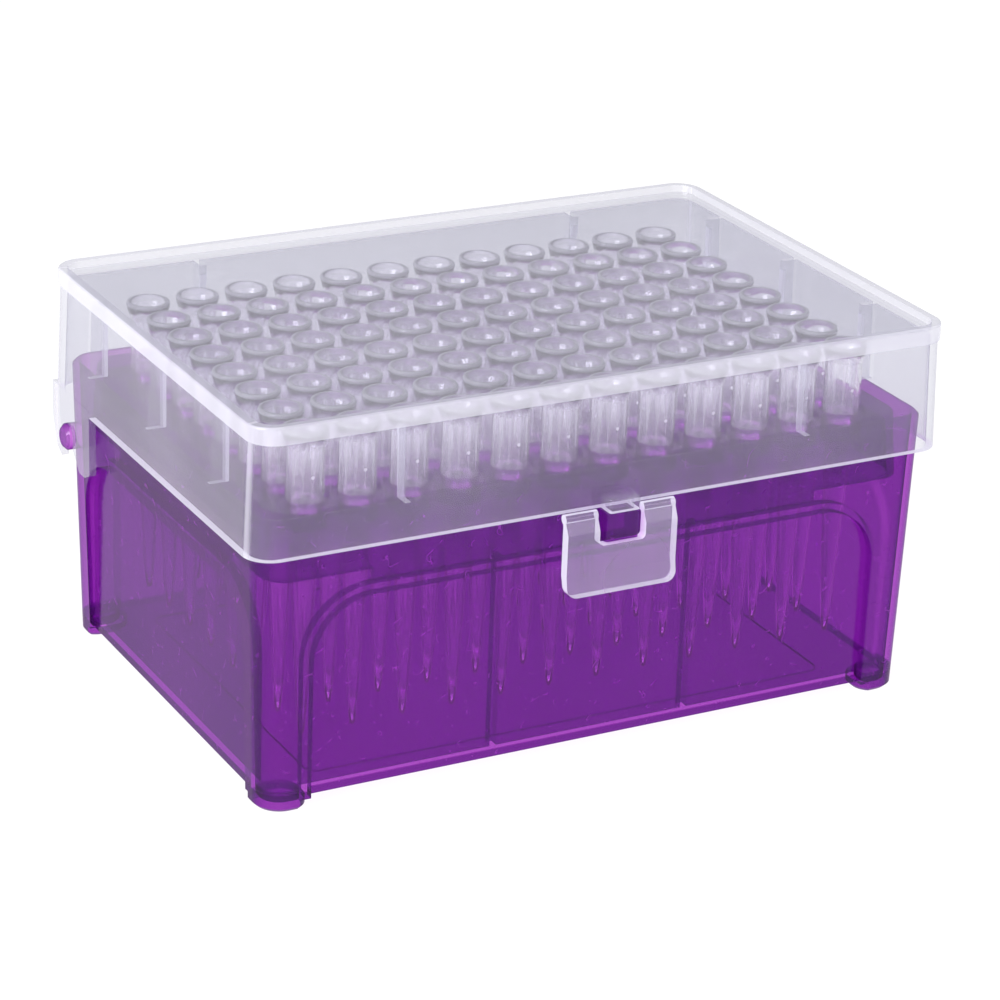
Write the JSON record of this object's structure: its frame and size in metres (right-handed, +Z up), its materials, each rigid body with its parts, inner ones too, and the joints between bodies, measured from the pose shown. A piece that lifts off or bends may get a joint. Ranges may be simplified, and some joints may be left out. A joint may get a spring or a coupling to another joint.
{
  "type": "pipette tip box",
  "caption": "Hinged box for pipette tips, with a rack of tips standing in it, a clear lid, a purple base on four short legs and a front latch.",
  "frame": {"origin": "on the surface the feet stand on, at the middle of the closed box's outline, latch included", "axes": "+X along the long side, to the right when the latch faces the viewer; +Y towards the hinge; +Z up; the latch faces -Y"},
  "size_m": [0.128, 0.089, 0.0664],
  "materials": {
    "purple_plastic": "gloss",
    "clear_plastic": "gloss",
    "tip_plastic": "gloss"
  },
  "bodies": {
    "base": {"base": "purple_plastic", "tray": "purple_plastic", "tip_column_01": "tip_plastic", "tip_column_02": "tip_plastic", "tip_column_03": "tip_plastic", "tip_column_04": "tip_plastic", "tip_column_05": "tip_plastic", "tip_column_06": "tip_plastic", "tip_column_07": "tip_plastic", "tip_column_08": "tip_plastic", "tip_column_09": "tip_plastic", "tip_column_10": "tip_plastic", "tip_column_11": "tip_plastic", "tip_column_12": "tip_plastic"},
    "lid": {"lid": "clear_plastic"},
    "latch": {"latch": "clear_plastic"}
  },
  "joints": [
    {"name": "lid_hinge", "type": "hinge", "parent": "base", "child": "lid", "pos_m": [0, 0.03612, 0.0377], "axis": [-1, 0, 0], "range_deg": [0, 90]},
    {"name": "latch_hinge", "type": "hinge", "parent": "lid", "child": "latch", "pos_m": [0, -0.04227, 0.0439], "axis": [-1, 0, 0], "range_deg": [0, 60]}
  ]
}
